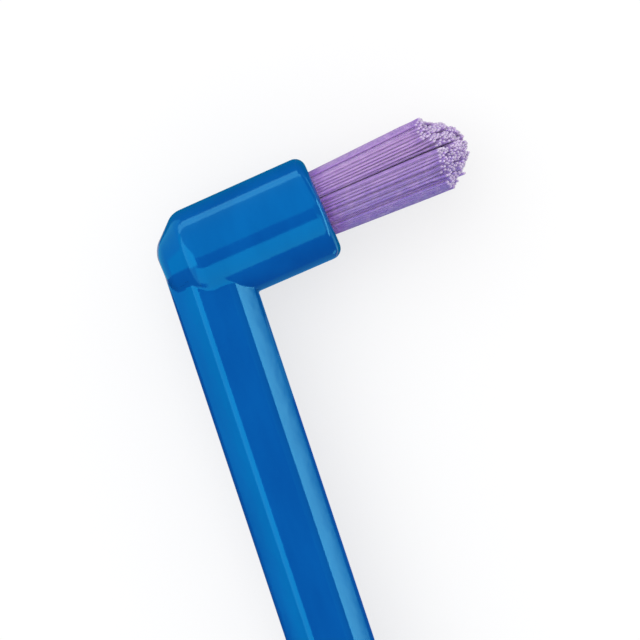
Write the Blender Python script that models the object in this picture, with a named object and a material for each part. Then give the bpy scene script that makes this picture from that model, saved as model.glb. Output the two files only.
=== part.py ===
"""Single tuft toothbrush, lying on a side flat of its octagonal grip.

The handle is one moulding: grip, shoulder, neck, and a short round head set across the end of the neck.
A blind hole in the head holds the tuft. Its filaments are folded in half under a flat metal anchor,
whose two ends bite into the wall of the hole, so the filaments lie in layers, one fold inside the next.

Metres, +Z up. +X runs from the butt to the head, and the tuft points along -Y, leaning a little to +X.
The origin is on the flat that the grip lies on, halfway along the grip.
"""

import math

import bmesh
import bpy
from mathutils import Matrix, Vector
from mathutils.geometry import delaunay_2d_cdt

# Handle, along +X
GRIP_LENGTH = 0.0980
GRIP_FLATS = 0.0100  # across the flats of the octagon
GRIP_EDGE_RADIUS = 0.00090
BUTT_ROUNDING = 0.00130
SHOULDER_LENGTH = 0.0300
NECK_LENGTH = 0.0440  # from the shoulder to the tuft's axis
NECK_FLATS = 0.00485
NECK_EDGE_RADIUS = 0.00045

# Head, turned about the tuft's axis, which starts on the back flat of the neck
HEAD_DIAMETER = 0.0062
HEAD_LENGTH = 0.0100  # from the back to the face
HEAD_TILT = math.radians(5.4)  # of the tuft's axis away from the grip
HEAD_CHAMFER_LENGTH = 0.0018  # of the back's chamfer, along the axis
HEAD_CHAMFER_DEPTH = 0.00165  # of the same chamfer, inwards
HEAD_BACK_RADIUS = 0.0014  # between the back and the chamfer
HEAD_SIDE_RADIUS = 0.0006  # between the chamfer and the round side
HEAD_RIM_RADIUS = 0.00060
NECK_OVERLAP = 0.0003  # of the neck past the tuft's axis, inside the head

# Tuft hole and anchor
HOLE_DIAMETER = 0.00405
ANCHOR_HEIGHT = 0.0016  # along the hole
ANCHOR_THICKNESS = 0.00035
ANCHOR_BITE = 0.00018  # into the wall at each end
ANCHOR_EDGE = 0.00005

# Filaments
SEAT_GAP = 0.00005  # between pieces that touch
FOLD_DEPTH = 0.0012  # of the outermost filaments below the anchor
CLOSING_LENGTH = 0.0009  # over which the two legs of a fold meet above the anchor
CLOSED_LENGTH = 0.0011  # over which the legs then lie side by side, fused
FUSED_DEPTH = 0.0006  # from the face down to where the filaments are shown one by one
PARTING_AT_FACE = 0.00008  # between the two legs of the fold
PARTING_AT_TIPS = 0.00030
TUFT_RIM_DIAMETER = 0.0048
TUFT_RIM_HEIGHT = 0.0070  # of the outermost tips above the face
DOME_HEIGHT = 0.0020  # of the middle tips above the outermost ones
STRAND_WIDTH = 0.00010
STRAND_NOSE = 0.00006
STRAND_GAP = 0.00005  # between neighbouring filaments at the fused top
STRAND_MARGIN = 0.00002  # from a layer's outer filaments to its side
TIP_SEAM = 0.00003  # from the middle of a layer's outer tips to its side
LOCK_WIDTH = 0.00095  # of the locks that the tips gather into
LOCK_SHARE = 0.05  # how far the tips move towards a lock, as a share of its width
DOME_POWER = 1.8
LAYER_NAMES = ("inner_filaments", "middle_filaments", "outer_filaments")
LAYER_END_SHARES = (0.3, 0.6, 1.0)  # how far out from the parting each layer reaches

# Roundness
EDGE_STEPS = 3
ROUNDING_STEPS = 5
SHOULDER_STEPS = 10
HEAD_SIDES = 72
HOLE_SIDES = 48
ARC_STEPS = 4
FOLD_STEPS = 6
STRAND_SIDES = 4
STAGGER = 3  # columns until a filament stands level with the first one again

CUT_OVERRUN = 0.0020  # of every cutter past what it cuts
SAME_POINT_SHARE = 0.001  # of a filament's width, within which two corners count as one
SMOOTH_ANGLE = math.radians(30)

# Worked out from the sizes above
AXIS_HEIGHT = GRIP_FLATS / 2
BUTT_X = -GRIP_LENGTH / 2
SHOULDER_X = GRIP_LENGTH / 2
NECK_X = SHOULDER_X + SHOULDER_LENGTH
HEAD_X = NECK_X + NECK_LENGTH
NECK_BACK = NECK_FLATS / 2
HEAD_RADIUS = HEAD_DIAMETER / 2
HOLE_RADIUS = HOLE_DIAMETER / 2
ANCHOR_DEPTH = FUSED_DEPTH + CLOSED_LENGTH + CLOSING_LENGTH  # from the face to the anchor's near edge
HOLE_DEPTH = ANCHOR_DEPTH + ANCHOR_HEIGHT + FOLD_DEPTH + SEAT_GAP
HEAD_WALL = HEAD_RADIUS - HOLE_RADIUS
BUNDLE_RADIUS = HOLE_RADIUS - SEAT_GAP
STRAND_PITCH = STRAND_WIDTH + STRAND_GAP
STRAND_EDGE = STRAND_WIDTH / 2 + STRAND_MARGIN
OCTAGON_STEP = math.pi / 4


def clear_scene():
    for obj in list(bpy.data.objects):
        bpy.data.objects.remove(obj, do_unlink=True)


def material(name, colour, roughness, metallic=0.0):
    made = bpy.data.materials.new(name)
    made.use_nodes = True
    shader = made.node_tree.nodes["Principled BSDF"]
    shader.inputs["Base Color"].default_value = (*colour, 1.0)
    shader.inputs["Roughness"].default_value = roughness
    shader.inputs["Metallic"].default_value = metallic
    made.diffuse_color = (*colour, 1.0)
    return made


def object_from(bm, name, finish=None):
    """The mesh in bm as an object, with its faces pointing out."""
    bmesh.ops.recalc_face_normals(bm, faces=bm.faces)
    mesh = bpy.data.meshes.new(name)
    bm.to_mesh(mesh)
    bm.free()
    mesh.shade_smooth()
    mesh.set_sharp_from_angle(angle=SMOOTH_ANGLE)
    obj = bpy.data.objects.new(name, mesh)
    if finish is not None:
        mesh.materials.append(finish)
    bpy.context.scene.collection.objects.link(obj)
    return obj


def as_helper(obj):
    obj.hide_render = True
    obj.display_type = "WIRE"
    return obj


def boolean(obj, operation, other):
    modifier = obj.modifiers.new(f"{operation.lower()}_{other.name}", "BOOLEAN")
    modifier.operation = operation
    modifier.object = other


def bridge(bm, one, other):
    """Faces between two closed rings with the same number of vertices."""
    for k, corner in enumerate(one):
        after = (k + 1) % len(one)
        bm.faces.new((corner, one[after], other[after], other[k]))


def loft(bm, rings):
    """A closed solid through rings of points, with flat ends."""
    made = [[bm.verts.new(point) for point in ring] for ring in rings]
    for one, other in zip(made, made[1:]):
        bridge(bm, one, other)
    bm.faces.new(made[0])
    bm.faces.new(made[-1])


def circle(radius, height, sides):
    turns = [math.tau * k / sides for k in range(sides)]
    return [Vector((radius * math.cos(t), radius * math.sin(t), height)) for t in turns]


def edge_arc(flats, edge_radius, corner):
    """(y, z) points of one rounded edge of an octagon whose flats face the axes."""
    middle = (corner + 0.5) * OCTAGON_STEP
    reach = (flats / 2 - edge_radius) / math.cos(OCTAGON_STEP / 2)
    turns = [middle + (step / EDGE_STEPS - 0.5) * OCTAGON_STEP for step in range(EDGE_STEPS + 1)]
    return [
        (
            reach * math.cos(middle) + edge_radius * math.cos(turn),
            reach * math.sin(middle) + edge_radius * math.sin(turn),
        )
        for turn in turns
    ]


def octagon(x, flats, edge_radius):
    corners = [edge_arc(flats, edge_radius, corner) for corner in range(8)]
    return [Vector((x, y, z)) for arc in corners for y, z in arc]


def shaft_rings():
    """Sections of the handle from the butt to just past the tuft's axis."""
    rings = []
    for step in range(ROUNDING_STEPS + 1):
        turn = step / ROUNDING_STEPS * math.pi / 2
        inset = BUTT_ROUNDING * (1 - math.sin(turn))
        x = BUTT_X + BUTT_ROUNDING * (1 - math.cos(turn))
        flats = GRIP_FLATS - 2 * inset
        rings.append(octagon(x, flats, GRIP_EDGE_RADIUS * flats / GRIP_FLATS))
    for step in range(SHOULDER_STEPS + 1):
        share = step / SHOULDER_STEPS
        grip_share = (1 + math.cos(math.pi * share)) / 2
        flats = NECK_FLATS + (GRIP_FLATS - NECK_FLATS) * grip_share
        edge_radius = NECK_EDGE_RADIUS + (GRIP_EDGE_RADIUS - NECK_EDGE_RADIUS) * grip_share
        rings.append(octagon(SHOULDER_X + SHOULDER_LENGTH * share, flats, edge_radius))
    rings.append(octagon(HEAD_X + NECK_OVERLAP, NECK_FLATS, NECK_EDGE_RADIUS))
    return rings


def rounded_corner(before, corner, after, radius):
    """Points of the arc that rounds one corner of an outline."""
    back = (before - corner).normalized()
    onward = (after - corner).normalized()
    half = back.angle(onward) / 2
    centre = corner + (back + onward).normalized() * radius / math.sin(half)
    first = corner + back * radius / math.tan(half) - centre
    last = corner + onward * radius / math.tan(half) - centre
    turns = [step / ROUNDING_STEPS for step in range(ROUNDING_STEPS + 1)]
    return [centre + radius * first.slerp(last, turn) for turn in turns]


def head_profile():
    """(radius, height) points of the head from its back, over the chamfer and the side, to its face."""
    corners = [
        Vector((0, 0)),
        Vector((HEAD_RADIUS - HEAD_CHAMFER_DEPTH, 0)),
        Vector((HEAD_RADIUS, HEAD_CHAMFER_LENGTH)),
        Vector((HEAD_RADIUS, HEAD_LENGTH)),
        Vector((0, HEAD_LENGTH)),
    ]
    radii = (HEAD_BACK_RADIUS, HEAD_SIDE_RADIUS, min(HEAD_RIM_RADIUS, HEAD_WALL))
    arcs = [rounded_corner(*corners[k : k + 3], radius) for k, radius in enumerate(radii)]
    return [point for arc in arcs for point in arc]


def head_body(head_frame):
    bm = bmesh.new()
    loft(bm, [circle(radius, height, HEAD_SIDES) for radius, height in head_profile()])
    body = as_helper(object_from(bm, "head_body"))
    body.parent = head_frame
    return body


def box(bm, size, centre):
    bmesh.ops.create_cube(bm, size=1.0, matrix=Matrix.LocRotScale(centre, None, size))


def anchor_middle():
    """The anchor's middle in the head's frame."""
    return Vector((0, 0, HEAD_LENGTH - ANCHOR_DEPTH - ANCHOR_HEIGHT / 2))


def anchor_size():
    return Vector((ANCHOR_THICKNESS, HOLE_DIAMETER + 2 * ANCHOR_BITE, ANCHOR_HEIGHT))


def tuft_hole(head_frame):
    bm = bmesh.new()
    heights = (HEAD_LENGTH - HOLE_DEPTH, HEAD_LENGTH + CUT_OVERRUN)
    loft(bm, [circle(HOLE_RADIUS, height, HOLE_SIDES) for height in heights])
    hole = as_helper(object_from(bm, "tuft_hole"))
    hole.parent = head_frame
    return hole


def anchor_bites(head_frame):
    """The two pockets that the anchor's ends cut into the wall of the hole, as one box across it."""
    gap = Vector((SEAT_GAP, SEAT_GAP, SEAT_GAP))
    bm = bmesh.new()
    box(bm, anchor_size() + 2 * gap, anchor_middle())
    bites = as_helper(object_from(bm, "anchor_bites"))
    bites.parent = head_frame
    return bites


def make_handle(head_frame):
    bm = bmesh.new()
    loft(bm, shaft_rings())
    finish = material("handle_blue", (0.004, 0.118, 0.440), 0.18)
    handle = object_from(bm, "handle", finish)
    handle.location.z = AXIS_HEIGHT
    boolean(handle, "UNION", head_body(head_frame))
    boolean(handle, "DIFFERENCE", tuft_hole(head_frame))
    boolean(handle, "DIFFERENCE", anchor_bites(head_frame))
    return handle


def make_anchor(head_frame):
    bm = bmesh.new()
    box(bm, anchor_size(), Vector())
    anchor = object_from(bm, "anchor", material("nickel_silver", (0.66, 0.61, 0.50), 0.30, 1.0))
    anchor.parent = head_frame
    anchor.location = anchor_middle()
    bevel = anchor.modifiers.new("broken_edges", "BEVEL")
    bevel.width = ANCHOR_EDGE
    bevel.segments = 1
    return anchor


def stretched(distance, old_half_gap, old_radius, half_gap, radius):
    """A distance from the parting plane, after the parting and the bundle's radius have changed."""
    share = (distance - old_half_gap) / (old_radius - old_half_gap)
    return half_gap + share * (radius - half_gap)


def half_chord(radius, distance):
    return math.sqrt(max(radius**2 - distance**2, 0))


def layer_side(share):
    """The distance from the parting plane at a share of the bundle's radius, at the face."""
    return stretched(share, 0, 1, PARTING_AT_FACE / 2, BUNDLE_RADIUS)


def leg_outline(start, end):
    """Distances from the parting plane along the round side of a layer, evenly spaced round the circle."""
    first = math.asin(start / BUNDLE_RADIUS)
    last = math.asin(min(end / BUNDLE_RADIUS, 1))
    turns = [first + (last - first) * step / ARC_STEPS for step in range(ARC_STEPS + 1)]
    return [BUNDLE_RADIUS * math.sin(turn) for turn in turns]


def leg_section(distances, opened):
    """(across, along) points of a layer's section, closed up as at the face or opened round the anchor.

    The outermost layer comes to a point on the circle, so it has no second point there.
    """
    half_gap = ANCHOR_THICKNESS / 2 + SEAT_GAP
    if opened:
        distances = [
            stretched(d, PARTING_AT_FACE / 2, BUNDLE_RADIUS, half_gap, BUNDLE_RADIUS) for d in distances
        ]
    upper = [(d, half_chord(BUNDLE_RADIUS, d)) for d in distances]
    lower = [(d, -chord) for d, chord in reversed(upper) if chord > SEAT_GAP]
    return upper + lower


def fold_rings(distances):
    """Rings of one layer, from the fused top of one leg, round under the anchor, to the top of the other."""
    closed = leg_section(distances, False)
    opened = leg_section(distances, True)
    closing = -FUSED_DEPTH - CLOSED_LENGTH
    anchor_far = -ANCHOR_DEPTH - ANCHOR_HEIGHT - SEAT_GAP
    flattening = (FOLD_DEPTH - SEAT_GAP) / BUNDLE_RADIUS
    leg = [(closed, -FUSED_DEPTH), (closed, closing), (opened, closing - CLOSING_LENGTH + SEAT_GAP)]
    down = [[Vector((x, y, height)) for x, y in section] for section, height in leg]
    bend = []
    for step in range(FOLD_STEPS + 1):
        turn = math.pi * step / FOLD_STEPS
        bend.append(
            [
                Vector((x * math.cos(turn), y, anchor_far - x * math.sin(turn) * flattening))
                for x, y in opened
            ]
        )
    up = [[Vector((-point.x, point.y, point.z)) for point in ring] for ring in reversed(down)]
    return down + bend + up


def strand_feet(start, end):
    """(across, along) places of a layer's filaments at the fused top, staggered from column to column."""
    room = end - start - 2 * STRAND_EDGE
    rows = max(1, round(room / STRAND_PITCH))
    pitch = room / (rows - 1 / STAGGER)
    columns = int(BUNDLE_RADIUS / STRAND_PITCH)
    feet = []
    for column in range(-columns, columns + 1):
        along = column * STRAND_PITCH
        reach = half_chord(BUNDLE_RADIUS - STRAND_WIDTH / 2, along)
        steps = [row + column % STAGGER / STAGGER for row in range(rows)]
        places = [start + STRAND_EDGE + pitch * step for step in steps]
        feet += [(across, along) for across in places if across <= reach]
    return feet


def gathered(place):
    """A tip's place after it moves towards the middle of its lock."""
    return place - LOCK_SHARE * LOCK_WIDTH * math.sin(math.tau * place / LOCK_WIDTH)


def strand_tip(foot, start, end):
    """The tip over a foot: spread over the layer's seams, gathered into locks, and trimmed to the dome."""
    across, along = foot
    rim = TUFT_RIM_DIAMETER / 2
    across = stretched(across, start + STRAND_EDGE, end - STRAND_EDGE, start + TIP_SEAM, end - TIP_SEAM)
    x = gathered(stretched(across, PARTING_AT_FACE / 2, BUNDLE_RADIUS, PARTING_AT_TIPS / 2, rim))
    y = gathered(along * rim / BUNDLE_RADIUS)
    share = min(math.hypot(x, y) / rim, 1)
    return Vector((x, y, TUFT_RIM_HEIGHT + DOME_HEIGHT * (1 - share**DOME_POWER)))


def strand_ring(middle):
    turns = [math.tau * (k + 0.5) / STRAND_SIDES for k in range(STRAND_SIDES)]
    return [middle + STRAND_WIDTH / 2 * Vector((math.cos(t), math.sin(t), 0)) for t in turns]


def grow_strands(bm, rim, start, end, side):
    """Closes a leg's top ring with faces that leave a filament's own outline round every foot."""
    flat = [Vector((v.co.x, v.co.y)) for v in rim]
    corners = list(rim)
    owner = [-1] * len(rim)
    loops = [list(range(len(rim)))]
    for index, foot in enumerate(strand_feet(start, end)):
        base = Vector((side * foot[0], foot[1], -FUSED_DEPTH))
        tip = strand_tip(foot, start, end)
        tip.x *= side
        low = [bm.verts.new(point) for point in strand_ring(base)]
        high = [bm.verts.new(point) for point in strand_ring(tip - Vector((0, 0, STRAND_NOSE)))]
        nose = bm.verts.new(tip)
        bridge(bm, low, high)
        for k, corner in enumerate(high):
            bm.faces.new((corner, high[(k + 1) % STRAND_SIDES], nose))
        loops.append(list(range(len(corners), len(corners) + STRAND_SIDES)))
        corners += low
        owner += [index] * STRAND_SIDES
        flat += [Vector((v.co.x, v.co.y)) for v in low]
    edges = [(a, b) for loop in loops for a, b in zip(loop, loop[1:] + loop[:1])]
    size = BUNDLE_RADIUS
    same_point = SAME_POINT_SHARE * STRAND_WIDTH / size
    found = delaunay_2d_cdt([point / size for point in flat], edges, [], 1, same_point)
    source = [origins[0] for origins in found[3]]
    for face in found[2]:
        owners = {owner[source[k]] for k in face}
        if len(owners) > 1 or -1 in owners:
            bm.faces.new([corners[source[k]] for k in face])


def make_layer(name, start_share, end_share, finish, head_frame):
    """One layer of folded filaments, fused where they are held and single where they show."""
    start = layer_side(start_share) + (SEAT_GAP / 2 if start_share > 0 else 0)
    end = layer_side(end_share) - (SEAT_GAP / 2 if end_share < 1 else 0)
    bm = bmesh.new()
    rings = [[bm.verts.new(point) for point in ring] for ring in fold_rings(leg_outline(start, end))]
    for one, other in zip(rings, rings[1:]):
        bridge(bm, one, other)
    grow_strands(bm, rings[0], start, end, 1)
    grow_strands(bm, rings[-1], start, end, -1)
    layer = object_from(bm, name, finish)
    layer.parent = head_frame
    layer.location.z = HEAD_LENGTH


def make_tuft(head_frame):
    finish = material("filament_violet", (0.305, 0.216, 0.485), 0.45)
    start_share = 0
    for name, end_share in zip(LAYER_NAMES, LAYER_END_SHARES):
        make_layer(name, start_share, end_share, finish, head_frame)
        start_share = end_share


def make_head_frame():
    """An empty where the tuft's axis leaves the back flat: local Z along the tuft, local Y up."""
    frame = bpy.data.objects.new("head_frame", None)
    frame.location = (HEAD_X, NECK_BACK, AXIS_HEIGHT)
    frame.rotation_euler = Matrix(
        (
            (math.cos(HEAD_TILT), 0, math.sin(HEAD_TILT)),
            (math.sin(HEAD_TILT), 0, -math.cos(HEAD_TILT)),
            (0, 1, 0),
        )
    ).to_euler()
    bpy.context.scene.collection.objects.link(frame)
    return frame


def main():
    clear_scene()
    head_frame = make_head_frame()
    make_handle(head_frame)
    make_anchor(head_frame)
    make_tuft(head_frame)


main()
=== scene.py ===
"""Looks of the single tuft toothbrush: its moulded handle, its anchor and its filaments, on a pale floor.

The handle is one closed surface where a distance function is zero. The filaments are thin tubes along
paths that run from a tip, down into the head, round under the anchor and up to the other tip.
"""

import math

import bpy
import numpy as np
from mathutils import Matrix, Vector


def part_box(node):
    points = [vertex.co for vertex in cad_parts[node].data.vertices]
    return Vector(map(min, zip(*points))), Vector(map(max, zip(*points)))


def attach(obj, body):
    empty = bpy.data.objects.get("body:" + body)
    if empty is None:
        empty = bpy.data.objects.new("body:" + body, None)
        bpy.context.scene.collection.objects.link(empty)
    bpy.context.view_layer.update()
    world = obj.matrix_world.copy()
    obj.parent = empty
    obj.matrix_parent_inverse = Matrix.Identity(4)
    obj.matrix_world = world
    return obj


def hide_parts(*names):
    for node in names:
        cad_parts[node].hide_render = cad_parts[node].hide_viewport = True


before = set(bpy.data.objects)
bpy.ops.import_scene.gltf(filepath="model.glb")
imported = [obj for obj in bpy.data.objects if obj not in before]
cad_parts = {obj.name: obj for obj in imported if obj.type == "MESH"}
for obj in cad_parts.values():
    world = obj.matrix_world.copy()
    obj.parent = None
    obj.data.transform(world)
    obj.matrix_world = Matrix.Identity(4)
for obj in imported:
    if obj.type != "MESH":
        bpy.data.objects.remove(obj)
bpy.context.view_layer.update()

MM = 0.001

# Handle, along +X, in the solids' own sizes
HANDLE_LOW, HANDLE_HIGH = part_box("handle")
AXIS_HEIGHT = (HANDLE_LOW.z + HANDLE_HIGH.z) / 2
BUTT_X = HANDLE_LOW.x
GRIP_FLATS = HANDLE_HIGH.z - HANDLE_LOW.z
GRIP_EDGE_RADIUS = 0.90 * MM
BUTT_ROUNDING = 1.30 * MM
SHOULDER_X = -BUTT_X
SHOULDER_LENGTH = 30.0 * MM
NECK_X = SHOULDER_X + SHOULDER_LENGTH
NECK_FLATS = 4.88 * MM
NECK_EDGE_RADIUS = 0.72 * MM
NECK_OVERLAP = 0.30 * MM
NECK_FRONT_SWELL = 0.11 * MM  # of the neck's two front chamfers, which are narrower than its back ones
CROWN_SHARE = 0.06  # how far the flats swell towards a circle
FILLET_RADIUS = 0.07 * MM  # of the toe between the neck's side flat and the head
FILLET_RISE = (1.2 * MM, 2.4 * MM)  # from the back, over which the fillet grows
FILLET_FALL = (3.0 * MM, 3.6 * MM)  # over which it ends again
FILLET_LEAST = 0.02 * MM
FILLET_STRETCH = 2.8  # of its reach up the head, against its reach along the neck

# Head, turned about the tuft's axis
HEAD_TILT = math.radians(5.4)
HEAD_LENGTH = 10.0 * MM
HEAD_RADIUS = 3.07 * MM  # at its back
HEAD_DRAFT = 0.006  # how much wider it grows per length
HEAD_SHIFT = 0.04 * MM  # of its outside from the hole's axis
HEAD_CHAMFER_LENGTH = 1.80 * MM
HEAD_CHAMFER_DEPTH = 1.61 * MM
HEAD_BACK_SHIFT = 0.13 * MM  # of the back disc, off the axis towards the neck
HEAD_SHIFT_CAP = 1.2  # on the share of that shift, which is 0 where the chamfer starts and 1 at the back
HEAD_BACK_ROUNDING = 0.47 * MM
HEAD_SIDE_ROUNDING = 0.28 * MM
HEAD_RIM_RADIUS = 0.65 * MM
HOLE_RADIUS = 2.025 * MM
HOLE_DEPTH = 5.45 * MM
HOLE_LIP = 0.10 * MM

# Anchor, across the hole
ANCHOR_DEPTH = 2.60 * MM  # from the face to its near edge
ANCHOR_HEIGHT = 1.60 * MM
ANCHOR_THICKNESS = 0.35 * MM
ANCHOR_WIDTH = 4.41 * MM
SEAT_GAP = 0.05 * MM

# The head's own directions: across the hole along the handle, across it upwards, and along the tuft
ACROSS = np.array([math.cos(HEAD_TILT), math.sin(HEAD_TILT), 0.0])
UPWARD = np.array([0.0, 0.0, 1.0])
ALONG = np.array([math.sin(HEAD_TILT), -math.cos(HEAD_TILT), 0.0])
ANCHOR_MIDDLE = np.array(sum(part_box("anchor"), Vector()) / 2)
FACE_MIDDLE = ANCHOR_MIDDLE + ALONG * (ANCHOR_DEPTH + ANCHOR_HEIGHT / 2)
HEAD_BACK = FACE_MIDDLE - ALONG * HEAD_LENGTH
HEAD_X = HEAD_BACK[0]

# Fineness of the handle's surface
FINE = 0.12 * MM
MEDIUM = 0.20 * MM
SHOULDER_STEP = 5 * FINE
NECK_STEP = 40 * FINE
GRIP_STEP = 50 * FINE
SETTLING_STEPS = 4
LEAST_STEEPNESS = 0.05  # of the squared slope that a settling step divides by
NORMAL_STEP = 0.001 * MM

# Filaments
FILAMENT_RADIUS = 0.080 * MM
FILAMENT_PITCH = 0.150 * MM
FILAMENT_SIDES = 5
NOSE_RINGS = (0.30, 1.0)  # of a filament's end: how far behind its tip, in radii
NOSE_SHARE = 0.72  # of the radius, at the first of these rings
PITCH_JITTER_SHARE = 0.08
BUNDLE_RADIUS = 1.97 * MM
FOLD_DEPTH = 1.15 * MM
CLOSED_DEPTH = 1.7 * MM  # below the face, where the two legs of a fold lie together
PARTING_AT_FACE = 0.02 * MM  # how far the filaments beside the parting sink
PARTING_AT_TIPS = 0.36 * MM
PARTING_REACH = 0.34 * MM  # to the sides, over which they sink
PARTING_SINKING_POWER = 6  # of the sinking's fading towards the lower side
PARTING_OPENING_SHARE = 0.02  # of the sinking, by which each half also moves off the other
PARTING_OPENING_POWER = 9  # the same for that opening
PARTING_SHIFT_AT_FACE = 0.34 * MM  # off the tuft's middle, on its upper side
PARTING_SHIFT_AT_TIPS = 0.32 * MM
PARTING_SHIFT_BELOW = -0.6  # the same on the lower side, as a share of the upper side's
TUFT_SHIFT = 0.14 * MM  # of the tuft above the face, along the handle
TUFT_MOUTH_RADIUS = 2.04 * MM
TUFT_RIM_RADIUS = 2.47 * MM
TUFT_RIM_HEIGHT = 6.82 * MM
DOME_HEIGHT = 2.26 * MM
DOME_POWER = 1.78
DOME_SHIFT = -0.05 * MM  # of the dome's top from the tuft's middle
DOME_REACH = 1.1  # in rim radii, past which it falls no further
LAYER_NAMES = ("inner_filaments", "middle_filaments", "outer_filaments")
LAYER_END_SHARES = (0.3, 0.6, 1.0)
LOCK_PITCH = 0.42 * MM  # between the locks that the tips gather into
LOCK_JITTER_SHARE = 0.22
LOCK_PULL_SHARE = 0.26  # in the middle of the tuft
LOCK_PULL_LOSS = 0.6  # of that share, at the tuft's two sides
LOCK_EARLY_SHARE = 0.35  # of the pull, where a leg starts to bend to its lock
LOCK_START_SHARE = 0.84  # of the leg's height, where that is
LOCK_WANDER = 0.05 * MM
LOCK_LENGTH_JITTER = 0.08 * MM
TIP_JITTER = 0.04 * MM
TIP_WANDER = 0.015 * MM
CLUMP_PLACE = np.array([2.02, 0.40]) * MM  # of the clump at the rim, which stands a little apart
CLUMP_HALF = np.array([0.50, 0.75]) * MM
CLUMP_PULL_SHARE = 0.22
CLUMP_HEIGHT = 7.24 * MM
STRAY_PLACE = np.array([-1.70, 0.23]) * MM  # of a filament that was cut a little long
STRAY_REACH = 0.06 * MM
STRAY_EXTRA = 0.40 * MM
BEND_STEPS = 3
SEED = 11

# Studio
PHOTO_PIXELS = 640
PIXELS_PER_MM = 17.27
NECK_LEAN = math.radians(18.41)  # of the neck from the picture's upright
HEAD_BACK_PIXEL = (164.8, 275.2)
CAMERA_DISTANCE = 0.600
CAMERA_NEAR = 0.01
CAMERA_FAR = 20.0
SENSOR_WIDTH = 36.0
FLOOR_SIZE = 8.0
FLOOR_SHADE = 0.55
FLOOR_SHADE_LOSS = 0.2  # to the camera, which sees the glow instead
FLOOR_GLOW = 0.64
CARD_DISTANCE = 2.0
CARD_LIFT = 0.2 * MM
LAMP_STRENGTH = 1.20
LAMP_DIRECTION = (0.4, 0.3, 1.0)
LAMP_WIDTH = math.radians(70)
WORLD_STRENGTH = 0.75

random = np.random.default_rng(SEED)


class Value:
    """An output in a shader. Arithmetic on it adds Math nodes."""

    def __init__(self, shader, socket):
        self.shader = shader
        self.socket = socket

    def __mul__(self, other):
        return self.shader.math("MULTIPLY", self, other)

    def __sub__(self, other):
        return self.shader.math("SUBTRACT", self, other)

    def __rsub__(self, other):
        return self.shader.math("SUBTRACT", other, self)

    __rmul__ = __mul__


class Shader:
    """The nodes of one material or world."""

    def __init__(self, owner):
        owner.use_nodes = True
        self.tree = owner.node_tree
        self.tree.nodes.clear()

    def node(self, kind, output, settings=None, inputs=None):
        """Adds a node: its settings, then the values or links of its inputs. Returns the named output."""
        made = self.tree.nodes.new(kind)
        for name, value in (settings or {}).items():
            setattr(made, name, value)
        for name, value in (inputs or {}).items():
            if isinstance(value, Value):
                self.tree.links.new(value.socket, made.inputs[name])
            else:
                made.inputs[name].default_value = value
        return Value(self, made.outputs[output]) if output is not None else None

    def math(self, operation, *operands):
        return self.node("ShaderNodeMath", "Value", {"operation": operation}, dict(enumerate(operands)))

    def places(self, stretch=(1.0, 1.0, 1.0)):
        """The place on the piece in metres, stretched along each axis."""
        vector = self.node("ShaderNodeTexCoord", "Object")
        return self.node("ShaderNodeMapping", "Vector", None, {"Vector": vector, "Scale": stretch})

    def noise(self, vector, feature, detail=2.0):
        """Noise from 0 to 1 with features of a given size in metres."""
        inputs = {"Vector": vector, "Scale": 1 / feature, "Detail": detail}
        return self.node("ShaderNodeTexNoise", "Fac", None, inputs)

    def smooth(self, value, low, high, to_low=0.0, to_high=1.0):
        """The value carried smoothly from one range to another."""
        inputs = {"Value": value, "From Min": low, "From Max": high, "To Min": to_low, "To Max": to_high}
        return self.node("ShaderNodeMapRange", "Result", {"interpolation_type": "SMOOTHSTEP"}, inputs)

    def mix(self, share, one, other):
        """A colour between two colours."""
        inputs = {"Factor": share, 6: one, 7: other}
        return self.node("ShaderNodeMix", 2, {"data_type": "RGBA"}, inputs)

    def attribute(self, name):
        """A number that the piece's mesh holds at each point."""
        return self.node("ShaderNodeAttribute", "Fac", {"attribute_name": name})

    def bump(self, height, distance, normal=None):
        """A normal as if the surface rose by a distance where the height is 1."""
        inputs = {"Height": height, "Distance": distance}
        if normal is not None:
            inputs["Normal"] = normal
        return self.node("ShaderNodeBump", "Normal", None, inputs)

    def surface(self, inputs):
        """Ends the material with one Principled shader."""
        made = self.node("ShaderNodeBsdfPrincipled", "BSDF", None, inputs)
        self.node("ShaderNodeOutputMaterial", None, None, {"Surface": made})


def colour(red, green, blue):
    """An 8-bit display colour as scene values, by the sRGB curve: linear at the foot, then a power."""
    display = np.array([red, green, blue]) / 255
    linear = np.where(display <= 0.04045, display / 12.92, ((display + 0.055) / 1.055) ** 2.4)
    return (*linear.tolist(), 1.0)


def rounded_min(one, other, radius):
    """Union of two distances, with a concave fillet where both are smaller than its radius."""
    both = np.hypot(np.maximum(radius - one, 0), np.maximum(radius - other, 0))
    return np.maximum(np.minimum(one, other), radius) - both


def rounded_max(one, other, radius):
    """Intersection of two distances, with a convex rounding."""
    return -rounded_min(-one, -other, radius)


def octagon_distance(y, z, flats, edge_radius, front_swell):
    """Distance to an octagon with rounded edges, whose two front chamfers stand a little further out.

    Four flats and four chamfers, each a plane's distance, are cut together. Each corner's rounding starts
    as far from the corner as an arc of radius R would, at R tan(22.5 degrees). The other plane is
    sin(45 degrees) times as far away there.
    """
    chamfer = (np.abs(y) + np.abs(z)) * math.sqrt(0.5) - flats / 2 - np.where(y < 0, front_swell, 0)
    rounding = edge_radius * math.tan(math.pi / 8) * math.sin(math.pi / 4)
    return rounded_max(rounded_max(np.abs(y) - flats / 2, chamfer, rounding), np.abs(z) - flats / 2, rounding)


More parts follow.
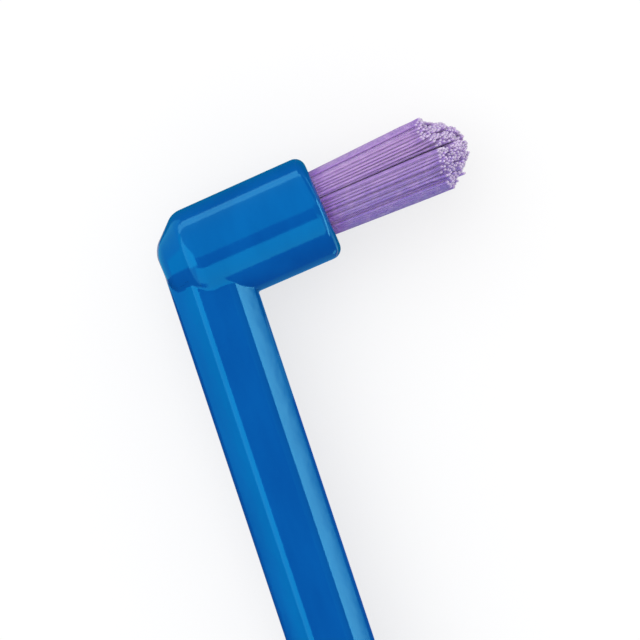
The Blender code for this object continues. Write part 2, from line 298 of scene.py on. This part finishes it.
def shaft_distance(x, y, z):
    """Distance to grip, shoulder and neck: an octagon whose width follows a cosine along the shoulder.

    A share of a circle of the same width is mixed in, so that the flats are a little crowned.
    """
    share = np.clip((x - SHOULDER_X) / SHOULDER_LENGTH, 0, 1)
    grip_share = (1 + np.cos(np.pi * share)) / 2
    flats = NECK_FLATS + (GRIP_FLATS - NECK_FLATS) * grip_share
    edge_radius = NECK_EDGE_RADIUS + (GRIP_EDGE_RADIUS - NECK_EDGE_RADIUS) * grip_share
    front_swell = NECK_FRONT_SWELL * (1 - grip_share)
    flat_sided = octagon_distance(y, z, flats, edge_radius, front_swell)
    round_sided = np.hypot(y, z) - flats / 2
    side = flat_sided + CROWN_SHARE * (round_sided - flat_sided)
    side = rounded_max(side, BUTT_X - x, BUTT_ROUNDING)
    return np.maximum(side, x - HEAD_X - NECK_OVERLAP)


def head_places(x, y, z):
    """Places across the hole along the handle, across it upwards, and along the tuft from the back."""
    x, y = x - HEAD_BACK[0], y - HEAD_BACK[1]
    return x * ACROSS[0] + y * ACROSS[1], z, x * ALONG[0] + y * ALONG[1]


def head_distance(across, upward, height):
    """Distance to the head: back disc, cone, round side and face along the tuft's axis.

    The cone leans: its middle drifts towards the neck on the way to the back disc, which is larger by as
    much, so that the chamfer keeps its size at the head's end.
    """
    radius = np.hypot(across - HEAD_SHIFT, upward) - HEAD_DRAFT * height
    drift = HEAD_BACK_SHIFT * np.clip(1 - height / HEAD_CHAMFER_LENGTH, 0, HEAD_SHIFT_CAP)
    cone_radius = np.hypot(across - HEAD_SHIFT + drift, upward) - HEAD_DRAFT * height
    depth = HEAD_CHAMFER_DEPTH - HEAD_BACK_SHIFT
    outward = (cone_radius - HEAD_RADIUS + depth) * HEAD_CHAMFER_LENGTH
    cone = (outward - height * depth) / math.hypot(HEAD_CHAMFER_LENGTH, depth)
    body = rounded_max(-height, cone, HEAD_BACK_ROUNDING)
    body = rounded_max(body, radius - HEAD_RADIUS, HEAD_SIDE_ROUNDING)
    return rounded_max(body, height - HEAD_LENGTH, HEAD_RIM_RADIUS)


def hole_distance(across, upward, height):
    """Distance to the tuft's blind hole, together with the anchor's two pockets in its wall."""
    hole = np.maximum(np.hypot(across, upward) - HOLE_RADIUS, HEAD_LENGTH - HOLE_DEPTH - height)
    depth = HEAD_LENGTH - height - ANCHOR_DEPTH - ANCHOR_HEIGHT / 2
    sides = (
        np.abs(across) - ANCHOR_THICKNESS / 2,
        np.abs(upward) - ANCHOR_WIDTH / 2,
        np.abs(depth) - ANCHOR_HEIGHT / 2,
    )
    pockets = np.maximum(np.maximum(*sides[:2]), sides[2]) - SEAT_GAP
    return np.minimum(hole, pockets)


def eased(value, run):
    """From 0 to 1 over a run, with level ends: 3t^2 - 2t^3."""
    share = np.clip((value - run[0]) / (run[1] - run[0]), 0, 1)
    return share * share * (3 - 2 * share)


def handle_distance(x, y, z):
    """Distance to the whole moulding: shaft and head joined with a fillet, less the hole.

    The fillet swells beside the side flats. The shaft's distance is divided, which leaves its surface
    where it is and makes the fillet reach further up the head than along the neck.
    """
    z = z - AXIS_HEIGHT
    across, upward, height = head_places(x, y, z)
    swell = eased(height, FILLET_RISE) * (1 - eased(height, FILLET_FALL))
    fillet = FILLET_LEAST + FILLET_RADIUS * swell
    shaft = shaft_distance(x, y, z) / FILLET_STRETCH
    solid = rounded_min(shaft, head_distance(across, upward, height), fillet)
    return rounded_max(solid, -hole_distance(across, upward, height), HOLE_LIP)


def slope(distance, points):
    """The distance function's rate of change at each point, from differences along the three axes."""
    rates = []
    for step in np.eye(3) * NORMAL_STEP:
        rates.append((distance(*(points + step).T) - distance(*(points - step).T)) / (2 * NORMAL_STEP))
    return np.stack(rates, axis=1)


def stations(*runs):
    """Grid lines through runs of (start, end, widest step), each run evenly divided."""
    lines = [np.linspace(a, b, max(2, math.ceil((b - a) / step) + 1))[:-1] for a, b, step in runs]
    return np.append(np.concatenate(lines), runs[-1][1])


def level_surface(distance, lines):
    """The closed surface where a distance function is zero, as quads over a grid of cells.

    Every cell with corners on both sides holds one vertex: the cell's middle, carried to the surface
    down the function's slope. Every grid edge that crosses the surface gives one quad of the vertices
    in the four cells round it, turned to face outwards.
    """
    inside = distance(*np.meshgrid(*lines, indexing="ij")) < 0
    corners = sum(
        inside[i : i - 1 or None, j : j - 1 or None, k : k - 1 or None].astype(int)
        for i in (0, 1)
        for j in (0, 1)
        for k in (0, 1)
    )
    mixed = (corners > 0) & (corners < 8)
    index = np.full(mixed.shape, -1)
    index[mixed] = np.arange(mixed.sum())
    middles = [(line[1:] + line[:-1]) / 2 for line in lines]
    points = np.stack([line[place] for line, place in zip(middles, np.nonzero(mixed))], axis=1)
    for _ in range(SETTLING_STEPS):
        rates = slope(distance, points)
        steepness = np.maximum((rates**2).sum(1), LEAST_STEEPNESS)
        points -= rates * (distance(*points.T) / steepness)[:, None]
    quads = []
    for axis in range(3):
        order = (axis, (axis + 1) % 3, (axis + 2) % 3)
        solid, cell = inside.transpose(order), index.transpose(order)
        i, j, k = np.nonzero(solid[:-1, 1:-1, 1:-1] != solid[1:, 1:-1, 1:-1])
        around = ((i, j, k), (i, j + 1, k), (i, j + 1, k + 1), (i, j, k + 1))
        ring = np.stack([cell[place] for place in around], axis=1)
        leaving = solid[i, j + 1, k + 1]
        quads.append(np.where(leaving[:, None], ring, ring[:, ::-1]))
    return points, np.concatenate(quads)


def piece(name, points, faces, finish, normals=None):
    """A new mesh piece that rides on the brush's one body."""
    mesh = bpy.data.meshes.new(name)
    mesh.from_pydata(points, [], faces)
    mesh.shade_smooth()
    if normals is not None:
        mesh.normals_split_custom_set_from_vertices(normals)
    mesh.materials.append(finish)
    made = bpy.data.objects.new(name, mesh)
    bpy.context.scene.collection.objects.link(made)
    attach(made, "root")
    return made


def make_handle(finish):
    """The moulding, on a grid that is fine round the butt and the head and coarse along straight runs."""
    joint_x = HEAD_X - HEAD_RADIUS - 2 * FILLET_RADIUS
    head_reach = HEAD_RADIUS + HEAD_LENGTH * math.sin(HEAD_TILT)
    margin = 2 * FINE
    x_lines = stations(
        (BUTT_X - margin, BUTT_X + BUTT_ROUNDING, FINE),
        (BUTT_X + BUTT_ROUNDING, SHOULDER_X, GRIP_STEP),
        (SHOULDER_X, NECK_X, SHOULDER_STEP),
        (NECK_X, joint_x, NECK_STEP),
        (joint_x, HEAD_X + head_reach + margin, FINE),
    )
    neck_half = NECK_FLATS / 2 + margin
    grip_half = GRIP_FLATS / 2 + 2 * MEDIUM
    head_end = FACE_MIDDLE[1] - HEAD_RADIUS * math.sin(HEAD_TILT) - margin
    y_lines = stations((head_end, neck_half, FINE), (neck_half, grip_half, MEDIUM))
    head_half = HEAD_RADIUS + margin
    z_lines = AXIS_HEIGHT + stations(
        (-grip_half, -head_half, MEDIUM), (-head_half, head_half, FINE), (head_half, grip_half, MEDIUM)
    )
    points, quads = level_surface(handle_distance, (x_lines, y_lines, z_lines))
    normals = slope(handle_distance, points)
    normals /= np.linalg.norm(normals, axis=1)[:, None]
    made = piece("handle_moulding", points, quads.tolist(), finish, normals)
    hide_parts("handle")


def half_disc_feet():
    """Staggered places of the filaments over the half of the bundle at one side of the parting."""
    reach = BUNDLE_RADIUS - FILAMENT_RADIUS
    first = PARTING_AT_FACE / 2 + FILAMENT_RADIUS
    rows = np.arange(-reach, reach, FILAMENT_PITCH * math.sqrt(3) / 2)
    columns = np.arange(first, reach, FILAMENT_PITCH)
    upward, across = np.meshgrid(rows, columns, indexing="ij")
    across = across + FILAMENT_PITCH / 2 * (np.arange(len(rows)) % 2)[:, None]
    feet = np.stack([across.ravel(), upward.ravel()], axis=1)
    feet += random.normal(0, PITCH_JITTER_SHARE * FILAMENT_PITCH, feet.shape)
    feet[:, 0] = np.maximum(feet[:, 0], first)
    return feet[np.hypot(*feet.T) <= reach]


def spread(places, parting, shift, radius):
    """Places over the bundle after its rim grows and its parting sinks and moves off the middle.

    The filaments sink by a share of exp(-x^2) at x reaches from the parting, and the two halves open a
    little. Both are strongest on the upper side. The parting slants through the tuft, so that nothing
    shows through it: on the lower side it lies off the middle the other way.
    """
    grown = places * radius / BUNDLE_RADIUS
    rise = (1 + grown[:, 1] / radius) / 2
    inwards = 1 - np.clip(grown[:, 0] / radius, -1, 1) ** 2
    opening = np.sign(places[:, 0]) * parting * PARTING_OPENING_SHARE * rise**PARTING_OPENING_POWER
    sunk = parting * np.exp(-((grown[:, 0] / PARTING_REACH) ** 2)) * rise**PARTING_SINKING_POWER
    moved = shift * (PARTING_SHIFT_BELOW + (1 - PARTING_SHIFT_BELOW) * rise)
    return grown + np.stack([inwards * (opening + moved), -sunk], axis=1)


def lock_middles():
    """Middles of the locks over the tuft's end: a staggered grid, each moved a little at random."""
    count = math.ceil(TUFT_RIM_RADIUS / LOCK_PITCH) + 1
    steps = np.arange(-count, count + 1)
    across, upward = np.meshgrid(steps, steps, indexing="ij")
    upward = upward + 0.5 * (steps % 2)[:, None]
    middles = np.stack([across.ravel(), upward.ravel()], axis=1) * LOCK_PITCH
    return middles + random.normal(0, LOCK_JITTER_SHARE * LOCK_PITCH, middles.shape)


def tip_places(feet, locks):
    """Places of the legs' tips before and after they gather into locks, and their lengths.

    The tips are spread over the tuft's end and then drawn towards the middle of the nearest lock on
    their side of the parting. The lengths follow a dome, 1 - r^DOME_POWER at r rim radii from its top,
    and each lock is a little long or short. One clump at the rim ends level, and one filament sticks out.
    """
    middles, wander, lengthening = locks
    tips = spread(feet, PARTING_AT_TIPS, PARTING_SHIFT_AT_TIPS, TUFT_RIM_RADIUS - FILAMENT_RADIUS)
    ideal = spread(middles, 0, PARTING_SHIFT_AT_TIPS, BUNDLE_RADIUS)
    across_parting = np.sign(feet[:, None, 0]) != np.sign(middles[None, :, 0])
    away = np.linalg.norm(tips[:, None] - ideal[None], axis=2) + LOCK_PITCH * across_parting
    lock = away.argmin(1)
    side_share = np.clip(tips[:, :1] / TUFT_RIM_RADIUS, -1, 1) ** 2
    pull = LOCK_PULL_SHARE * (1 - LOCK_PULL_LOSS * side_share)
    drawn = tips + pull * (ideal[lock] - tips) + wander[lock]
    drawn += random.normal(0, TIP_WANDER, tips.shape)
    rim_share = np.minimum(np.hypot(tips[:, 0] - DOME_SHIFT, tips[:, 1]) / TUFT_RIM_RADIUS, DOME_REACH)
    lengths = TUFT_RIM_HEIGHT + DOME_HEIGHT * (1 - rim_share**DOME_POWER) + lengthening[lock]
    clumped = (np.abs(tips - CLUMP_PLACE) < CLUMP_HALF).all(1)
    drawn += clumped[:, None] * CLUMP_PULL_SHARE * (CLUMP_PLACE - tips)
    lengths = np.where(clumped, CLUMP_HEIGHT, lengths)
    stray = np.hypot(*(tips - STRAY_PLACE).T) < STRAY_REACH
    lengths = lengths + STRAY_EXTRA * stray + random.normal(0, TIP_JITTER, len(feet))
    return tips, drawn, lengths, lock


def leg_paths(feet, locks):
    """Points of the legs from their tips down to the anchor's far edge, and the legs' locks.

    The points are in the head's directions. Above the face a leg runs almost straight towards its place
    in the spread tuft, and bends a little to its lock near the end. Inside the hole the two legs of a
    fold lie together and then part to pass the anchor, each keeping its share of the room at its side.
    """
    free_tips, tips, lengths, lock = tip_places(feet, locks)
    mouth = spread(feet, PARTING_AT_FACE, PARTING_SHIFT_AT_FACE, TUFT_MOUTH_RADIUS)
    start_share = (LOCK_START_SHARE * lengths + CLOSED_DEPTH) / (lengths + CLOSED_DEPTH)
    aim = free_tips + LOCK_EARLY_SHARE * (tips - free_tips)
    start = mouth + start_share[:, None] * (aim - mouth)
    off_axis = TUFT_SHIFT * np.array([1, 0])
    half_gap = ANCHOR_THICKNESS / 2 + SEAT_GAP
    side = np.outer(np.sign(feet[:, 0]), [1, 0])
    reach = np.sqrt(np.maximum(BUNDLE_RADIUS**2 - feet[:, 1:] ** 2, (2 * FILAMENT_RADIUS) ** 2))
    squeeze = np.minimum(np.abs(feet[:, :1]) / reach, 1)
    opened = feet * [0, 1] + side * (half_gap + squeeze * (reach - half_gap))
    places = np.stack([tips + off_axis, start + off_axis, mouth + off_axis, feet, opened, opened], axis=1)
    lower = [0, -CLOSED_DEPTH, -ANCHOR_DEPTH, -ANCHOR_DEPTH - ANCHOR_HEIGHT]
    heights = np.column_stack([lengths, LOCK_START_SHARE * lengths, np.tile(lower, (len(feet), 1))])
    return np.concatenate([places, heights[:, :, None]], axis=2), lock


def fold_paths(feet, locks):
    """Whole filaments: one leg down, half an ellipse round under the anchor, and the other leg up.

    The ellipse is (width cos t, upward, low - sag sin t). The locks of the two legs are returned too.
    """
    down, down_lock = leg_paths(feet, locks)
    up, up_lock = leg_paths(feet * [-1, 1], locks)
    turns = np.linspace(0, math.pi, BEND_STEPS + 1)[1:-1]
    width, upward, low = down[:, -1, 0], down[:, -1, 1], down[:, -1, 2]
    sag = np.abs(width) / BUNDLE_RADIUS * FOLD_DEPTH
    bend = [np.outer(width, np.cos(turns)), np.outer(upward, np.ones_like(turns))]
    bend.append(low[:, None] - np.outer(sag, np.sin(turns)))
    return np.concatenate([down, np.stack(bend, axis=2), up[:, ::-1]], axis=1), down_lock, up_lock


def nose_middles(tip, before, radius):
    """Middles of the rings behind the tips, from the tip on towards the path's next point."""
    inward = (before - tip) / np.linalg.norm(before - tip, axis=1)[:, None]
    return [tip + inward * radius * share for share in NOSE_RINGS]


def tubes(paths, radius, sides):
    """Round tubes along paths that stay near the plane across the anchor, with blunt rounded ends.

    Each ring is middle + radius (out cos t + aside sin t), square to the path, and out lies in the plane
    across the anchor. A smaller ring and a pole round each end.
    """
    first = nose_middles(paths[:, 0], paths[:, 1], radius)
    last = nose_middles(paths[:, -1], paths[:, -2], radius)
    rings = np.concatenate([np.stack(first, axis=1), paths[:, 1:-1], np.stack(last[::-1], axis=1)], axis=1)
    radii = np.full(rings.shape[1], radius)
    radii[[0, -1]] = radius * NOSE_SHARE
    ahead = np.gradient(rings, axis=1)
    ahead /= np.linalg.norm(ahead, axis=2)[:, :, None]
    out = np.cross(ahead, [0.0, 1.0, 0.0])
    out /= np.linalg.norm(out, axis=2)[:, :, None]
    aside = np.cross(out, ahead)
    turns = np.arange(sides) * math.tau / sides
    circle = out[:, :, None] * np.cos(turns)[:, None] + aside[:, :, None] * np.sin(turns)[:, None]
    skin = rings[:, :, None] + circle * radii[None, :, None, None]
    count, steps = rings.shape[:2]
    points = np.concatenate([skin.reshape(count, -1, 3), paths[:, :1], paths[:, -1:]], axis=1)
    corner = np.arange(sides)
    after = (corner + 1) % sides
    this_ring = np.arange(steps - 1)[:, None] * sides
    next_ring = this_ring + sides
    around = (this_ring + corner, next_ring + corner, next_ring + after, this_ring + after)
    quads = np.stack(around, axis=2)
    last_ring = (steps - 1) * sides
    first_pole = np.full(sides, steps * sides)
    first_cap = np.stack([first_pole, corner, after], axis=1)
    last_cap = np.stack([first_pole + 1, last_ring + after, last_ring + corner], axis=1)
    caps = np.concatenate([first_cap, last_cap])
    starts = np.arange(count)[:, None, None] * points.shape[1]
    quads = (quads.reshape(1, -1, 4) + starts).reshape(-1, 4)
    caps = (caps[None] + starts).reshape(-1, 3)
    return points, quads.tolist() + caps.tolist()


def to_world(points):
    """Points in the head's directions, from the middle of its face, as places in the frame."""
    return FACE_MIDDLE + points @ np.stack([ACROSS, UPWARD, ALONG])


def make_filaments(finish):
    """The folds of each layer as one piece.

    Its mesh holds what the material reads at each point: the height above the face, the distance from
    the tip, the side of the tuft, and a random tint of the filament and of its lock.
    """
    feet = half_disc_feet()
    middles = lock_middles()
    wander = random.normal(0, LOCK_WANDER, middles.shape)
    locks = (middles, wander, random.normal(0, LOCK_LENGTH_JITTER, len(middles)))
    lock_tints = random.random(len(middles))
    start_share = 0.0
    for name, end_share in zip(LAYER_NAMES, LAYER_END_SHARES):
        within = feet[:, 0] / BUNDLE_RADIUS
        layer = feet[(within >= start_share) & (within < end_share)]
        paths, down_lock, up_lock = fold_paths(layer, locks)
        points, faces = tubes(paths, FILAMENT_RADIUS, FILAMENT_SIDES)
        flat = points.reshape(-1, 3)
        on_first_leg = points[:, :, 0] * points[:, :1, 0] > 0
        own_tip = np.where(on_first_leg, points[:, -2:-1, 2], points[:, -1:, 2])
        own_lock = np.where(on_first_leg, down_lock[:, None], up_lock[:, None])
        values = {
            "height": flat[:, 2],
            "from_tip": (own_tip - points[:, :, 2]).ravel(),
            "side": flat[:, 0] / TUFT_RIM_RADIUS,
            "tint": np.repeat(random.random(len(layer)), points.shape[1]),
            "lock": lock_tints[own_lock].ravel(),
        }
        made = piece(name[:-1] + "_folds", to_world(flat), faces, finish)
        for label, numbers in values.items():
            attribute = made.data.attributes.new(label, "FLOAT", "POINT")
            attribute.data.foreach_set("value", numbers.astype(np.float32))
        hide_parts(name)
        start_share = end_share


def dress_anchor(finish):
    """The anchor keeps its own solid and only changes its material."""
    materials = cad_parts["anchor"].data.materials
    materials.clear()
    materials.append(finish)


def plastic():
    """Glossy blue plastic, a little uneven in colour and gloss, with a faint moulded waviness."""
    made = bpy.data.materials.new("moulded_blue_plastic")
    shader = Shader(made)
    places = shader.places()
    streaks = shader.noise(shader.places((0.25, 1.0, 1.0)), 1.6 * MM, 3.0)
    grain = shader.noise(places, 0.15 * MM)
    waves = shader.noise(places, 1.5 * MM)
    base = shader.mix(shader.smooth(streaks, 0.3, 0.7), colour(6, 83, 165), colour(7, 90, 172))
    shader.surface(
        {
            "Base Color": base,
            "Roughness": shader.smooth(grain, 0.25, 0.75, 0.09, 0.14),
            "IOR": 1.50,
            "Specular IOR Level": 0.8,
            "Specular Tint": (0.03, 0.75, 1.0, 1.0),
            "Normal": shader.bump(waves, 0.008 * MM, shader.bump(grain, 0.0006 * MM)),
        }
    )
    return made


def nylon():
    """Lilac nylon, with painted light and shade: paler and pinker on the tuft's side away from the neck,
    bluer and darker on the side towards it. It is also deeper at the foot and pale at the worn tips.

    It is painted paler where the filaments lie close together: painted light that stands for the light
    passing through them.
    """
    made = bpy.data.materials.new("lilac_nylon")
    shader = Shader(made)
    side, from_tip = shader.attribute("side"), shader.attribute("from_tip")
    patches = shader.noise(shader.places(), 0.5 * MM)
    # how open each place is, which sets the painted light in the close gaps below
    openness = shader.node("ShaderNodeAmbientOcclusion", "AO", {"samples": 8}, {"Distance": 0.35 * MM})
    worn = shader.smooth(from_tip, 0.02 * MM, 0.24 * MM, 0.85, 0.0)
    # painted light and shade: paler and pinker on the tuft's side away from the neck, bluer and darker on the
    # side towards it
    base = shader.mix(shader.smooth(side, -0.7, 0.5), colour(147, 131, 194), colour(181, 150, 204))
    tones = (
        # each lock's own tint, and each filament's
        (shader.smooth(shader.attribute("lock"), 0.0, 1.0, 0.0, 0.35), colour(138, 104, 198)),
        (shader.smooth(shader.attribute("tint"), 0.0, 1.0, 0.0, 0.2), colour(140, 104, 200)),
        # deeper at the foot of the tuft
        (shader.smooth(shader.attribute("height"), -0.4 * MM, 1.4 * MM, 1.0, 0.0), colour(152, 102, 196)),
        # uneven patches
        (shader.smooth(patches, 0.40, 0.75, 0.0, 0.35), colour(206, 176, 226)),
        # painted shade: deeper for a stretch behind each tip, in the hollows between the tips
        (shader.smooth(from_tip, 0.2 * MM, 0.8 * MM, 0.3, 0.0), colour(126, 94, 184)),
        # painted light: paler where filaments lie close together, for the light that passes through them; and
        # paler at the worn tips
        (shader.smooth(openness, 0.1, 0.65, 0.9, 0.0), colour(220, 194, 240)),
        (worn, colour(230, 211, 248)),
    )
    for share, tone in tones:
        base = shader.mix(share, base, tone)
    shader.surface(
        {
            "Base Color": base,
            "Roughness": shader.smooth(worn, 0.0, 0.85, 0.36, 0.62),
            "IOR": 1.53,
            "Specular IOR Level": 0.2,
            "Subsurface Weight": 0.6,
            "Subsurface Radius": (1.0, 0.8, 1.1),
            "Subsurface Scale": 0.25 * MM,
        }
    )
    return made


def metal():
    """Bright drawn metal of the anchor, with fine lines along the strip."""
    made = bpy.data.materials.new("drawn_anchor_metal")
    shader = Shader(made)
    lines = shader.noise(shader.places((12.0, 12.0, 1.0)), 0.6 * MM, 3.0)
    shader.surface(
        {
            "Base Color": shader.mix(lines, colour(196, 190, 172), colour(222, 216, 200)),
            "Metallic": 1.0,
            "Roughness": shader.smooth(lines, 0.2, 0.8, 0.22, 0.38),
            "Normal": shader.bump(lines, 0.003 * MM),
        }
    )
    return made


def photo_directions():
    """The picture's right and up as directions in the frame, seen from straight above."""
    right = Vector((-math.sin(NECK_LEAN), -math.cos(NECK_LEAN), 0))
    up = Vector((math.cos(NECK_LEAN), -math.sin(NECK_LEAN), 0))
    return right, up


def make_camera():
    """A long lens straight above, placed by the pixel where the head's back meets the tuft's axis."""
    right, up = photo_directions()
    middle = PHOTO_PIXELS / 2
    aside = (middle - HEAD_BACK_PIXEL[0]) / PIXELS_PER_MM * MM
    below = (middle - HEAD_BACK_PIXEL[1]) / PIXELS_PER_MM * MM
    centre = Vector(HEAD_BACK) + right * aside - up * below
    data = bpy.data.cameras.new("camera")
    data.sensor_width = SENSOR_WIDTH
    data.lens = SENSOR_WIDTH * CAMERA_DISTANCE / (PHOTO_PIXELS / PIXELS_PER_MM * MM)
    data.clip_start = CAMERA_NEAR
    data.clip_end = CAMERA_FAR
    made = bpy.data.objects.new("camera", data)
    bpy.context.scene.collection.objects.link(made)
    towards = Vector((0, 0, 1))
    axes = Matrix((right, up, towards)).transposed().to_4x4()
    made.matrix_world = Matrix.Translation(centre + towards * CAMERA_DISTANCE) @ axes
    bpy.context.scene.camera = made


def panel(name, shade, corners):
    """A flat card that only reflections see. Its shade is a colour or a grey, where 1 is white."""
    mesh = bpy.data.meshes.new(name)
    mesh.from_pydata(corners, [], [(0, 1, 2, 3)])
    plain = bpy.data.materials.new(name)
    plain.cycles.emission_sampling = "NONE"
    shader = Shader(plain)
    shade = (*np.broadcast_to(shade, 3).tolist(), 1.0)
    glow = shader.node("ShaderNodeEmission", "Emission", None, {"Color": shade})
    shader.node("ShaderNodeOutputMaterial", None, None, {"Surface": glow})
    mesh.materials.append(plain)
    made = bpy.data.objects.new(name, mesh)
    bpy.context.scene.collection.objects.link(made)
    made.visible_camera = made.visible_diffuse = made.visible_shadow = made.visible_transmission = False


def sky_card(name, shade, bearing, low, high, left, right):
    """A card far off towards a bearing from +X, all in degrees.

    It reaches between two angles from overhead, and two angles to its sides.
    """
    bearing, low, high, left, right = (math.radians(angle) for angle in (bearing, low, high, left, right))
    ahead = Vector((math.cos(bearing), math.sin(bearing), 0))
    aside = Vector((-math.sin(bearing), math.cos(bearing), 0))
    ends = [ahead * math.sin(angle) + Vector((0, 0, math.cos(angle))) for angle in (low, high)]
    sides = [aside * math.tan(angle) for angle in (-right, left)]
    corners = [ends[i] + sides[j] for i, j in ((0, 0), (0, 1), (1, 1), (1, 0))]
    panel(name, shade, [Vector(FACE_MIDDLE) + corner * CARD_DISTANCE for corner in corners])


def ground_card(name, shade, layer, *corners):
    """A card on the floor, with corners in mm from where the tuft's axis meets the head's back.

    A card of a higher layer covers those below it.
    """
    places = [(HEAD_BACK[0] + x * MM, HEAD_BACK[1] + y * MM, layer * CARD_LIFT) for x, y in corners]
    panel(name, shade, places)


def set_cards():
    """White, cyan, blue and black cards round the head, which give the plastic its bands of reflections."""
    far = 2500
    dim = (0.0, 0.2, 0.3)
    deep_blue = (0.02, 0.13, 0.52)
    sky_cards = (
        ("camera_card", 0.0, 180, -3, 22, 14, 30),
        ("grip_side_card", (1.2, 1.8, 1.8), 180, 22, 62, 40, 40),
        ("grip_side_flag", (0.02, 0.15, 0.52), 180, 62, 91, 55, 35),
        ("back_corner_flag", 0.0, 135, 74, 91, 36, 42),
        ("front_corner_flag", dim, 318, 60, 91, 26, 34),
        ("tip_high_card", (0.35, 0.9, 0.92), 0, 4, 83, 40, 40),
        ("tip_side_card", (2.0, 2.5, 2.5), 0, 83, 91, 40, 16),
        ("back_low_card", (0.0, 1.25, 1.35), 90, 74, 91, 9, 60),
        ("back_high_card", (2.0, 2.7, 2.8), 90, 28, 74, 12, 50),
        ("front_flag", 0.2, 270, 16, 73, 8, 10),
        ("front_card", 4.2, 270, 75, 91, 14, 75),
    )
    ground_cards = (
        ("tip_side_ground_card", (1.2, 2.2, 2.3), 1, (30, -far), (far, -far), (far, far), (30, far)),
        ("front_ground_card", (0.3, 1.0, 1.1), 2, (-far, -13), (-far, -far), (30, -far), (30, -13)),
        ("front_side_ground_flag", deep_blue, 3, (-2, -2), (-5.4, -13), (-0.6 * far, -far), (-far, -2)),
        ("head_side_ground_card", (0.05, 0.3, 0.6), 4, (-2, -2.5), (-2, -10.6), (-9, -10.6), (-9, -2.5)),
        ("rim_ground_card", (0.2, 1.0, 1.3), 5, (-9.2, -13.4), (-6.4, -13.4), (-6.4, -10.9), (-9.2, -10.9)),
        ("front_end_ground_flag", dim, 3, (-4, -10.2), (-5.6, -40), (40, -40), (40, -10.2)),
        ("rim_corner_ground_flag", dim, 3, (36, -12), (0.5 * far, -far), (far, -far), (far, -0.06 * far)),
        ("tip_side_ground_flag", dim, 2, (3.4, -10.2), (36, -10.2), (36, 12), (3.4, 12)),
        ("back_ground_card", (0.1, 0.75, 0.95), 3, (-0.6, 2.4), (20, 2.4), (far, far), (-0.16 * far, far)),
        ("back_ground_flag", 0.0, 3, (-0.6, 2.4), (-0.16 * far, far), (-far, far), (-far, 2.4)),
    )
    for details in sky_cards:
        sky_card(*details)
    for details in ground_cards:
        ground_card(*details)


def light_studio():
    """One broad soft lamp, which gives the shadow; reflections see the cards and the white world."""
    data = bpy.data.lights.new("soft_lamp", "SUN")
    data.energy = LAMP_STRENGTH
    data.angle = LAMP_WIDTH
    made = bpy.data.objects.new("soft_lamp", data)
    bpy.context.scene.collection.objects.link(made)
    made.visible_glossy = False
    made.rotation_euler = Vector(LAMP_DIRECTION).to_track_quat("Z", "Y").to_euler()
    set_cards()


def light_world():
    """White where the camera, gloss or glass sees past everything, and a little less for the light."""
    world = bpy.data.worlds.new("studio")
    bpy.context.scene.world = world
    shader = Shader(world)
    camera = shader.node("ShaderNodeLightPath", "Is Camera Ray")
    glossy = shader.node("ShaderNodeLightPath", "Is Glossy Ray")
    through = shader.node("ShaderNodeLightPath", "Is Transmission Ray")
    seen = shader.math("MAXIMUM", shader.math("MAXIMUM", camera, glossy), through)
    strength = shader.smooth(seen, 0.0, 1.0, WORLD_STRENGTH, 1.0)
    inputs = {"Color": (1, 1, 1, 1), "Strength": strength}
    back = shader.node("ShaderNodeBackground", "Background", None, inputs)
    shader.node("ShaderNodeOutputWorld", None, None, {"Surface": back})


def make_floor():
    """A plain white floor that keeps the shadow, with the last of its white added for the camera."""
    half = FLOOR_SIZE / 2
    mesh = bpy.data.meshes.new("floor")
    corners = [(-half, -half, 0), (half, -half, 0), (half, half, 0), (-half, half, 0)]
    mesh.from_pydata(corners, [], [(0, 1, 2, 3)])
    white = bpy.data.materials.new("white_floor")
    shader = Shader(white)
    camera = shader.node("ShaderNodeLightPath", "Is Camera Ray")
    shade = FLOOR_SHADE - camera * FLOOR_SHADE_LOSS
    paper = shader.node("ShaderNodeBsdfDiffuse", "BSDF", None, {"Color": shade})
    glow = shader.node("ShaderNodeEmission", "Emission", None, {"Strength": camera * FLOOR_GLOW})
    both = shader.node("ShaderNodeAddShader", "Shader", None, {0: paper, 1: glow})
    shader.node("ShaderNodeOutputMaterial", None, None, {"Surface": both})
    mesh.materials.append(white)
    made = bpy.data.objects.new("floor", mesh)
    bpy.context.scene.collection.objects.link(made)


bpy.context.scene.view_settings.view_transform = "Standard"
make_handle(plastic())
make_filaments(nylon())
dress_anchor(metal())
make_camera()
make_floor()
light_studio()
light_world()
